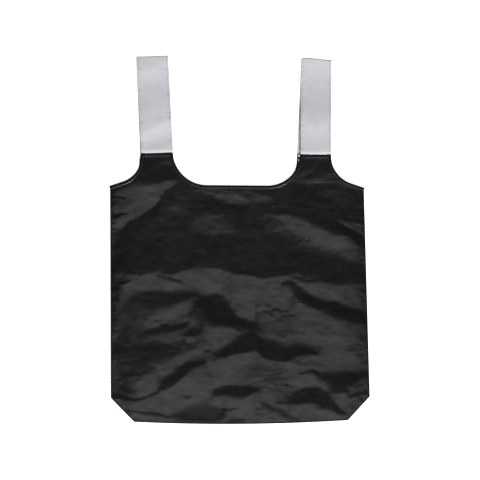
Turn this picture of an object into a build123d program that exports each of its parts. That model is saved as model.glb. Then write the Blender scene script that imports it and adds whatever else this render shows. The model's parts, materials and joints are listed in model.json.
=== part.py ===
from build123d import *
import os

# Foldable tote bag in thin woven cloth, empty and lying flat with its front panel up.
# Millimetres. X runs to the right, Y towards the handles, Z up out of the front panel.
# The origin is the centre of the rectangle that the bag covers, on the surface it lies on.

# Overall size
bag_length = 552.0
bag_depth = 7.0
bottom_y = -bag_length / 2
strap_top_y = bag_length / 2
middle_z = bag_depth / 2

# Sides and cut corners, as half widths about the centre line
side_top_half, side_top_y = 190.3, 80.0
side_bottom_half, corner_top_y = 193.5, -235.8
corner_bottom_half, corner_bottom_y = 160.2, -271.5
side_slope_width = 14.0  # the panels slope to the seams over this width

# Mouth, tabs and armholes
mouth_y = 82.0
mouth_flat_half = 45.0
tab_inner_x, tab_outer_x = 95.7, 142.3
tab_top_y = 129.0
armhole_bend = (171.0, 86.5)  # where the armhole's straight run turns into its arc

# Cloth, hems and seams
cloth = 0.4
hem_width = 6.0
hem_stitch_inset = 4.5
hem_end_y = 120.5  # hems stop here, where the strap ends begin
seam_inner_inset, seam_outer_inset = 10.5, 2.5
seam_thickness = 0.4
seam_top_y = 73.0
bottom_seam_half = 156.0
corner_seam_top_y = -232.0
corner_stitch_inset = 3.0

# Thread
thread_width = 0.5
thread_height = 0.15

# Straps
strap_thickness = 0.8
strap_width = tab_outer_x - tab_inner_x
strap_inset_y = 121.0  # lower edge of the strap end, inside the tab
strap_stitch_inset = 3.0
tab_stitch_ys = (127.0, 122.8)
tab_stitch_margin = 3.0

# Label
label_length, label_low_y = 12.0, 116.5
label_out, label_in = 5.6, 5.0  # how far it stands out of the tab, and how far it is sewn in
label_thickness = 0.2

# Folds
lower_fold_y, upper_fold_y, handle_fold_y = -157.0, -38.0, 138.0
fold_gap = 0.6

far = 400.0  # past the bag in any direction


def half_outline(top_edges):
    """Right half of an outline, from the centre line at the top to the centre line below."""
    sides = Polyline(
        (side_top_half, side_top_y),
        (side_bottom_half, corner_top_y),
        (corner_bottom_half, corner_bottom_y),
    )
    return top_edges + sides


def whole_face(right_half):
    bottom = ThreePointArc(
        (corner_bottom_half, corner_bottom_y),
        (0, bottom_y),
        (-corner_bottom_half, corner_bottom_y),
    )
    return make_face(right_half + mirror(right_half, about=Plane.YZ) + bottom)


def cut_outline():
    """The panel's true outline, with its mouth, tabs and armholes."""
    bend_x, bend_y = armhole_bend
    rise = bend_y - side_top_y
    run = bend_x - side_top_half
    mouth = Line((0, mouth_y), (mouth_flat_half, mouth_y))
    mouth += TangentArc((mouth_flat_half, mouth_y), (tab_inner_x, tab_top_y), tangent=(1, 0))
    tab = Line((tab_inner_x, tab_top_y), (tab_outer_x, tab_top_y))
    armhole = TangentArc(armhole_bend, (tab_outer_x, tab_top_y), tangent=(run, rise))
    armhole += Line(armhole_bend, (side_top_half, side_top_y))
    return whole_face(half_outline(mouth + tab + armhole))


def tall_outline():
    """The same sides and bottom under a plain top, so that nothing slopes at the mouth."""
    lean = (side_bottom_half - side_top_half) / (side_top_y - corner_top_y)
    top_half = side_top_half - lean * (far / 2 - side_top_y)
    top = Polyline((0, far / 2), (top_half, far / 2), (side_top_half, side_top_y))
    return whole_face(half_outline(top))


def inset(face, amount):
    return offset(face, amount=-amount, kind=Kind.INTERSECTION)


def ring(face, outer_inset, inner_inset):
    outer = inset(face, outer_inset) if outer_inset else face
    return outer - inset(face, inner_inset)


def rectangle(x_low, x_high, y_low, y_high):
    centre = ((x_low + x_high) / 2, (y_low + y_high) / 2)
    return Pos(*centre) * Rectangle(x_high - x_low, y_high - y_low)


def column(region):
    """A region of the plan as a tall column through the whole bag."""
    return Pos(0, 0, -bag_depth) * extrude(region, amount=3 * bag_depth)


def flip_to_back(solid):
    return mirror(solid, about=Plane.XY.offset(middle_z))


def flip_to_left(solid):
    return mirror(solid, about=Plane.YZ)


plan = cut_outline()
body_plan = tall_outline()
upper_half = Pos(0, 0, middle_z + bag_depth) * Box(2 * far, 2 * far, 2 * bag_depth)
crown = loft(
    [Pos(0, 0, middle_z) * body_plan, Pos(0, 0, bag_depth) * inset(body_plan, side_slope_width)],
    ruled=True,
)
crown += Pos(0, 0, middle_z - bag_depth) * extrude(body_plan, amount=bag_depth)


def layer(region, top, bottom):
    """Front cloth between two depths below the outer surface, over a region of the plan."""
    band = Pos(0, 0, -top) * crown - Pos(0, 0, -bottom) * crown
    return band & upper_half & column(region)


def thread_round(region, on_depth=0.0):
    """Thread lying on the front cloth's outer face, or on a face on_depth below it."""
    if on_depth:
        return layer(region, on_depth, on_depth + thread_height)
    return layer(region, -thread_height, 0)


def inset_line(face, distance):
    half = thread_width / 2
    return ring(face, distance - half, distance + half)


nodes = {}

# Panels, each in three parts that meet at the fold lines
half_gap = fold_gap / 2
spans = {
    "upper": (upper_fold_y + half_gap, far / 2),
    "middle": (lower_fold_y + half_gap, upper_fold_y - half_gap),
    "lower": (-far, lower_fold_y - half_gap),
}
for part, (y_low, y_high) in spans.items():
    panel = layer(plan & rectangle(-far, far, y_low, y_high), 0, cloth)
    nodes[f"front_panel_{part}"] = panel
    nodes[f"back_panel_{part}"] = flip_to_back(panel)

# Turned hems round the mouth and the armholes
hem_ring = ring(plan, 0, hem_width)
tab_middle_x = (tab_inner_x + tab_outer_x) / 2
hem_low_y = side_top_y - hem_width
mouth_zone = rectangle(-tab_middle_x, tab_middle_x, hem_low_y, hem_end_y)
armhole_zone = rectangle(tab_middle_x, far, hem_low_y, hem_end_y)
mouth_hem = layer(hem_ring & mouth_zone, cloth, 2 * cloth)
right_armhole_hem = layer(hem_ring & armhole_zone, cloth, 2 * cloth)
left_armhole_hem = flip_to_left(right_armhole_hem)
nodes["front_mouth_hem"] = mouth_hem
nodes["back_mouth_hem"] = flip_to_back(mouth_hem)
nodes["front_left_armhole_hem"] = left_armhole_hem
nodes["front_right_armhole_hem"] = right_armhole_hem
nodes["back_left_armhole_hem"] = flip_to_back(left_armhole_hem)
nodes["back_right_armhole_hem"] = flip_to_back(right_armhole_hem)

# Thread of the hems: on top at the front, and on the turned cloth inside at the back
stitch_line = inset_line(plan, hem_stitch_inset)
stitch_zones = mouth_zone + armhole_zone + mirror(armhole_zone, about=Plane.YZ)
stitch_region = stitch_line & stitch_zones
nodes["front_hem_stitching"] = thread_round(stitch_region)
nodes["back_hem_stitching"] = flip_to_back(thread_round(stitch_region, 2 * cloth))

# Seam allowances, turned inside the bag between the two panels
seam_ring = ring(body_plan, seam_outer_inset, seam_inner_inset)


def seam(zone):
    low = Pos(0, 0, middle_z - seam_thickness / 2)
    return low * extrude(seam_ring & zone, amount=seam_thickness)


for part, (y_low, y_high) in spans.items():
    zone = rectangle(0, far, max(y_low, corner_seam_top_y), min(y_high, seam_top_y))
    side_seam = seam(zone)
    nodes[f"right_side_seam_{part}"] = side_seam
    nodes[f"left_side_seam_{part}"] = flip_to_left(side_seam)
corner_zone = rectangle(bottom_seam_half, far, -far, corner_seam_top_y)
nodes["right_corner_seam"] = seam(corner_zone)
nodes["left_corner_seam"] = flip_to_left(nodes["right_corner_seam"])
bottom_zone = rectangle(-bottom_seam_half, bottom_seam_half, -far, corner_seam_top_y)
nodes["bottom_seam"] = seam(bottom_zone)

# Thread across the two cut corners
corner_line = inset_line(body_plan, corner_stitch_inset)
chamfer_zone = rectangle(corner_bottom_half, far, -far, corner_top_y)
corner_thread = thread_round(corner_line & chamfer_zone)
nodes["corner_stitching"] = Compound(
    children=[*corner_thread.solids(), *flip_to_left(corner_thread).solids()]
)

# Strap ends, held between the tab's cloth and its turned hem
strap_end_zone = rectangle(tab_inner_x, tab_outer_x, strap_inset_y, handle_fold_y - half_gap)
right_end = layer(strap_end_zone, cloth, cloth + strap_thickness)
left_end = flip_to_left(right_end)
nodes["front_right_strap_end"] = right_end
nodes["front_left_strap_end"] = left_end
nodes["back_right_strap_end"] = flip_to_back(right_end)
nodes["back_left_strap_end"] = flip_to_back(left_end)

# Thread across the tops of the two front tabs
tab_threads = []
for stitch_y in tab_stitch_ys:
    row = rectangle(
        tab_inner_x + tab_stitch_margin,
        tab_outer_x - tab_stitch_margin,
        stitch_y - thread_width / 2,
        stitch_y + thread_width / 2,
    )
    thread = thread_round(row)
    tab_threads += [*thread.solids(), *flip_to_left(thread).solids()]
nodes["tab_stitching"] = Compound(children=tab_threads)


# Strap loops: a front leg, a bend at the top and a back leg, each a flat band
def loop_profile(clearance):
    """Side view of the loop's outside, shrunk by a clearance, open to the fold line below."""
    radius = middle_z - cloth - clearance
    bend_y = strap_top_y - (middle_z - cloth)
    leg_length = bend_y - handle_fold_y - half_gap
    legs = Pos(bend_y - leg_length / 2, middle_z) * Rectangle(leg_length, 2 * radius)
    return legs + Pos(bend_y, middle_z) * Circle(radius)


side_view = Plane(origin=(tab_inner_x, 0, 0), x_dir=(0, 1, 0), z_dir=(1, 0, 0))
loop_section = loop_profile(0) - loop_profile(strap_thickness)
right_strap = extrude(side_view * loop_section, amount=strap_width)
nodes["right_strap"] = right_strap
nodes["left_strap"] = flip_to_left(right_strap)

# Thread along both edges of each strap, on the outside of both legs
strap_bend_y = strap_top_y - middle_z
strap_threads = []
for edge_x in (tab_inner_x + strap_stitch_inset, tab_outer_x - strap_stitch_inset):
    row = rectangle(
        edge_x - thread_width / 2,
        edge_x + thread_width / 2,
        handle_fold_y + half_gap,
        strap_bend_y,
    )
    front_thread = Pos(0, 0, bag_depth - cloth) * extrude(row, amount=thread_height)
    strap_threads += [front_thread, flip_to_back(front_thread)]
nodes["right_strap_stitching"] = Compound(children=strap_threads)
nodes["left_strap_stitching"] = Compound(children=[flip_to_left(t) for t in strap_threads])

# Blank loop label, lying on the back strap end and standing out of the right tab's inner edge
label_zone = rectangle(
    tab_inner_x - label_out,
    tab_inner_x + label_in,
    label_low_y,
    label_low_y + label_length,
)
label_base_z = cloth + strap_thickness
nodes["blank_label"] = Pos(0, 0, label_base_z) * extrude(label_zone, amount=label_thickness)

os.makedirs("parts", exist_ok=True)
for name, solid in nodes.items():
    solid.label = name
    export_step(solid, f"parts/{name}.step")
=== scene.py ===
import json
import math

import bpy
import numpy as np
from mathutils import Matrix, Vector
from mathutils.geometry import delaunay_2d_cdt


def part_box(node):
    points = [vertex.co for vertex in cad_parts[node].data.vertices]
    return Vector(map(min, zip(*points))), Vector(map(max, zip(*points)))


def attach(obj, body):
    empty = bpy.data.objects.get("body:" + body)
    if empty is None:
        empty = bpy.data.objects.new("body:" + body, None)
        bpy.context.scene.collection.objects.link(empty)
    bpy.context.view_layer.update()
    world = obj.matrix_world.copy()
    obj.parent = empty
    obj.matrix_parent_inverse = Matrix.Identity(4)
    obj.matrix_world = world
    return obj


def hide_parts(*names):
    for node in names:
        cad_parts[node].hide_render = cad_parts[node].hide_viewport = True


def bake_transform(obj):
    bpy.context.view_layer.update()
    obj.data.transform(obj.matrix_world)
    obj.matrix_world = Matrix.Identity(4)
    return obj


# Foldable tote bag, empty and lying flat with its front up. Metres, Z up, +Y towards the handles.

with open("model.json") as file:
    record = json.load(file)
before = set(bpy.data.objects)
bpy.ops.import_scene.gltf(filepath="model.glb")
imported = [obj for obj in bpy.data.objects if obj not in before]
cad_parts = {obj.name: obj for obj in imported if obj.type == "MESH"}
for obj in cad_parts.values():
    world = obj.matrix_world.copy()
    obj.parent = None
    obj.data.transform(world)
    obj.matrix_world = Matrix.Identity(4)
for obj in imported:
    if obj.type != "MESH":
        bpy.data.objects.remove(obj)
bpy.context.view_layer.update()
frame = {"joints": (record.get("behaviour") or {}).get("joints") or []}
mm = 0.001

# Places taken from the frame
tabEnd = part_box("front_right_strap_end")
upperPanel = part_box("front_panel_upper")
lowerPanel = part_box("front_panel_lower")
jointAt = {j["name"]: Vector(j["pos_m"]) for j in frame["joints"]}

tabInner, tabOuter = tabEnd[0].x, tabEnd[1].x
tabTop = upperPanel[1].y
bagBottom = lowerPanel[0].y
lowerFoldY = jointAt["lower_fold"].y
upperFoldY = jointAt["upper_fold"].y
splitY = (lowerFoldY + upperFoldY) / 2  # each panel is two pieces that meet here

bagCut = {
    "sideTop": (190.3 * mm, tabTop - 49 * mm),  # top of the side seam
    "corner": [(193.5 * mm, bagBottom + 40.2 * mm), (160.2 * mm, bagBottom + 4.5 * mm)],
    "mouthY": tabTop - 47 * mm,
    "mouthFlat": 45 * mm,  # half of the straight stretch
    "armholeBend": (171 * mm, tabTop - 42.5 * mm),
    "frontCell": 1.25 * mm,  # mesh spacing of the panels
    "backCell": 2.6 * mm,
}

bagLay = {  # how the bag lies: it leans a little, and its tabs are turned and shifted
    "leanAtMouth": -4.6 * mm,
    "leanAtBottom": 1.8 * mm,
    "tiltAtTabs": -0.008,
    "tiltAtBottom": 0.008,
    "seamHeight": 1.2 * mm,
    "crown": 4.4 * mm,  # height of the front in the middle of the bag
    "mouthHeight": 3.6 * mm,
    "highest": 7.0 * mm,
    "lowest": 1.1 * mm,
    "tabLowest": 3.1 * mm,  # the tabs lie over the ends of the straps
    "edgeRun": 16 * mm,  # how quickly the front rises from the seams
    "backHeight": 0.5 * mm,
    "backFolds": 0.22 * mm,
    "tabReach": 32 * mm,  # how far below their tops the tabs are turned and shifted
    "tabSide": 60 * mm,  # from here outwards it is a tab
    "leftTabTurn": 0.034,  # its top edge climbs to the right
    "leftTabSpread": 0.7 * mm,
    "leftTabBelly": -2.2 * mm,  # its outer edge swells just below the top
    "bellyReach": 9 * mm,
    "backTabShift": -4.6 * mm,  # the back of the right tab shows beside its front
    "backTabLift": 0.85 * mm,  # the back tabs lie on the strap ends
    "leftBow": -1.2 * mm,  # the left side bows out towards the bottom
    "bowFrom": 150 * mm,
    "bowRun": 40 * mm,
}


def smooth(t):
    t = np.clip(t, 0, 1)
    return t * t * (3 - 2 * t)


def lay(points, back=False):
    # moves points of the cut to where the bag lies
    x, y = points[..., 0], points[..., 1]
    down = (bagCut["mouthY"] - y) / (bagCut["mouthY"] - bagBottom)
    lean = bagLay["leanAtMouth"] + (bagLay["leanAtBottom"] - bagLay["leanAtMouth"]) * down
    tilt = bagLay["tiltAtTabs"] + (bagLay["tiltAtBottom"] - bagLay["tiltAtTabs"]) * down
    nearTop = smooth((y - tabTop + bagLay["tabReach"]) / bagLay["tabReach"])
    leftTab = smooth(-x / bagLay["tabSide"] - 1) * nearTop
    rightTab = smooth(x / bagLay["tabSide"] - 0.6) * nearTop
    tabMiddle = (tabInner + tabOuter) / 2
    rise = bagLay["leftTabTurn"] * leftTab * (x + tabMiddle)
    spread = bagLay["leftTabSpread"] * leftTab * (x + tabMiddle) / (tabOuter - tabInner) * 2
    belly = np.exp(-(((y - tabTop + bagLay["bellyReach"]) / bagLay["bellyReach"]) ** 2))
    belly = belly * smooth(-x / (20 * mm) - 6.2)  # only outside the middle of the left tab
    shift = spread + bagLay["leftTabBelly"] * belly
    if back:
        shift = shift + bagLay["backTabShift"] * rightTab
    bow = bagLay["leftBow"] * smooth((-x - bagLay["bowFrom"]) / bagLay["bowRun"]) * smooth(down)
    return np.stack([x + lean + shift + bow, y + tilt * x + rise], axis=-1)


# The cut's outline, drawn on the right side and mirrored for the left
def tangentArc(start, end, tangent, step):
    # points of the arc that leaves start along tangent and ends at end
    start, end, tangent = (np.array(v, float) for v in (start, end, tangent))
    tangent /= np.linalg.norm(tangent)
    side = np.array([-tangent[1], tangent[0]])
    chord = end - start
    radius = chord @ chord / (2 * chord @ side)
    centre = start + radius * side
    turn = 2 * math.atan2(chord @ side, chord @ tangent)
    count = max(2, int(abs(turn * radius) / step))
    angles = np.linspace(0, turn, count + 1)[:, None]
    arm = start - centre
    across = np.array([-arm[1], arm[0]])
    return centre + arm * np.cos(angles) + across * np.sin(angles)


def run(start, end, step):
    start, end = np.array(start, float), np.array(end, float)
    count = max(1, int(round(np.linalg.norm(end - start) / step)))
    return start + (end - start) * np.linspace(0, 1, count + 1)[:, None]


def joined(parts):
    path = [parts[0]] + [p[1:] for p in parts[1:]]
    return np.concatenate(path)


def mirrored(path):
    return path[::-1] * np.array([-1, 1])


def mouthPath(step):
    # right half of the mouth, from its middle up to the tab
    flatEnd = (bagCut["mouthFlat"], bagCut["mouthY"])
    flat = run((0, bagCut["mouthY"]), flatEnd, step)
    return joined([flat, tangentArc(flatEnd, (tabInner, tabTop), (1, 0), step)])


def armholePath(step, flare=0.0):
    # right armhole, from the tab down to the side seam, and flare past it
    bend, sideTop = np.array(bagCut["armholeBend"]), np.array(bagCut["sideTop"])
    along = (sideTop - bend) / np.linalg.norm(sideTop - bend)
    curve = tangentArc(bend, (tabOuter, tabTop), bend - sideTop, step)[::-1]
    return joined([curve, run(bend, sideTop + along * flare, step)])


def bottomPath(step):
    # the bottom edge from the right corner to the left, bowed a little
    half, cornerY = bagCut["corner"][1]
    x = np.linspace(half, -half, int(2 * half / step))
    return np.stack([x, bagBottom + (cornerY - bagBottom) * (x / half) ** 2], axis=1)


def sidePath(yHigh, yLow, step):
    # right side seam between two heights
    (topX, topY), (lowX, lowY) = bagCut["sideTop"], bagCut["corner"][0]

    def at(y):
        return (topX + (lowX - topX) * (topY - y) / (topY - lowY), y)

    return run(at(yHigh), at(yLow), step)


def cornerPath(step):
    return run(bagCut["corner"][0], bagCut["corner"][1], step)


def upperOutline(step):
    # closed outline above the split
    tab = run((tabInner, tabTop), (tabOuter, tabTop), step)
    side = sidePath(bagCut["sideTop"][1], splitY, step)
    right = joined([mouthPath(step), tab, armholePath(step), side])
    foot = run(right[-1], right[-1] * np.array([-1, 1]), step)
    return joined([right, foot, mirrored(right)])[:-1]


def lowerOutline(step):
    side = sidePath(splitY, bagCut["corner"][0][1], step)
    right = joined([side, cornerPath(step)])
    head = run(right[0] * np.array([-1, 1]), right[0], step)
    return joined([right, bottomPath(step), mirrored(right), head])[:-1]


def insideOf(loop, points):
    # which points lie inside a closed loop
    x, y = points[:, 0], points[:, 1]
    inside = np.zeros(len(points), bool)
    for (x0, y0), (x1, y1) in zip(loop, np.roll(loop, -1, axis=0)):
        if y0 != y1:
            crosses = (y0 > y) != (y1 > y)
            inside ^= crosses & (x < x0 + (x1 - x0) * (y - y0) / (y1 - y0))
    return inside


def awayFrom(path, points, closed=False):
    # distance of each point from a path
    ends = np.roll(path, -1, axis=0) if closed else path[1:]
    starts = path if closed else path[:-1]
    best = np.full(len(points), np.inf)
    for a, b in zip(starts, ends):
        d = b - a
        t = np.clip(((points - a) @ d) / max(d @ d, 1e-12), 0, 1)
        best = np.minimum(best, np.linalg.norm(points - a - t[:, None] * d, axis=1))
    return best


def seamEdge():
    # the sewn edge, from high above one side, round the bottom and up the other
    side = sidePath(bagCut["sideTop"][1] + 60 * mm, bagCut["corner"][0][1], 1)
    right = joined([side, cornerPath(1)])
    return joined([right, bottomPath(40 * mm), mirrored(right)])


# The square field that the cloth's folds are drawn and solved on
fieldSize = {"low": np.array([-0.225, -0.295]), "side": 0.45, "cells": 420}


def fieldGrid():
    at = (np.arange(fieldSize["cells"]) + 0.5) / fieldSize["cells"] * fieldSize["side"]
    return np.meshgrid(fieldSize["low"][0] + at, fieldSize["low"][1] + at)


def softNoise(seed, alongX, alongY):
    # seeded noise with features about that long each way, with a spread of one
    k = 2 * math.pi * np.fft.fftfreq(fieldSize["cells"], fieldSize["side"] / fieldSize["cells"])
    kx, ky = np.meshgrid(k, k)
    rough = np.fft.fft2(np.random.default_rng(seed).standard_normal(kx.shape))
    kept = np.exp(-((kx * alongX / 4) ** 2) - (ky * alongY / 4) ** 2)
    field = np.real(np.fft.ifft2(rough * kept))
    return (field - field.mean()) / field.std()


def fade(distance, softness):
    # from 0 outside to 1 inside, over about twice the softness
    return 1 / (1 + np.exp(-np.clip(distance / (softness * 0.45), -40, 40)))


def spineOf(points, per=5):
    # points of a smooth curve through a few given ones
    p = np.array([points[0]] + list(points) + [points[-1]], float)
    spans = []
    t = np.linspace(0, 1, per, endpoint=False)[:, None]
    for a, b, c, d in zip(p, p[1:], p[2:], p[3:]):
        bent = (2 * a - 5 * b + 4 * c - d) * t**2
        turned = (3 * b - a - 3 * c + d) * t**3
        spans.append(0.5 * (2 * b + (c - a) * t + bent + turned))
    return np.concatenate(spans + [p[-1:]])


def paint(tilt, x, y, slope, above, below, points):
    # turns the cloth to a slope inside a stroke: points are x, y and half width in mm, and above and below
    # say how soft its edges are
    spine = spineOf(points if len(points) > 1 else points + [(points[0][0] + 1, *points[0][1:])])
    reach = spine[:, 2].max() + 2.5 * max(above, below)
    xs, ys = x[0] / mm, y[:, 0] / mm
    i0, i1 = np.searchsorted(xs, [spine[:, 0].min() - reach, spine[:, 0].max() + reach])
    j0, j1 = np.searchsorted(ys, [spine[:, 1].min() - reach, spine[:, 1].max() + reach])
    gx, gy = x[j0:j1, i0:i1] / mm, y[j0:j1, i0:i1] / mm
    nearest = np.full(gx.shape, 1e9)
    inside = np.zeros(gx.shape)
    for (ax, ay, aw), (bx, by, bw) in zip(spine[:-1], spine[1:]):
        dx, dy = bx - ax, by - ay
        t = np.clip(((gx - ax) * dx + (gy - ay) * dy) / max(dx * dx + dy * dy, 1e-9), 0, 1)
        ox, oy = gx - ax - t * dx, gy - ay - t * dy
        gap = np.hypot(ox, oy)
        soft = np.where(oy > 0, above, below)
        share = fade(aw + (bw - aw) * t - gap, soft)
        closer = gap < nearest
        nearest = np.where(closer, gap, nearest)
        inside = np.where(closer, share, inside)
    part = tilt[j0:j1, i0:i1]
    part += (slope - part) * inside


# The lower edge of the wide shadowed band, from left to right (mm)
bandEdge = [
    (-200, -50), (-150, -51), (-128, -46), (-100, -51), (-80, -44), (-50, -42), (-20, -47), (5, -53),
    (33, -58), (58, -53), (88, -50), (96, -60), (112, -66), (145, -67), (200, -67),
]

# Slopes that the folds are drawn with, from facing the bottom of the bag to facing the mouth
lit, half, dim, dark, deep, steep = 0.068, 0.034, 0.010, -0.028, -0.060, -0.24

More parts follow.
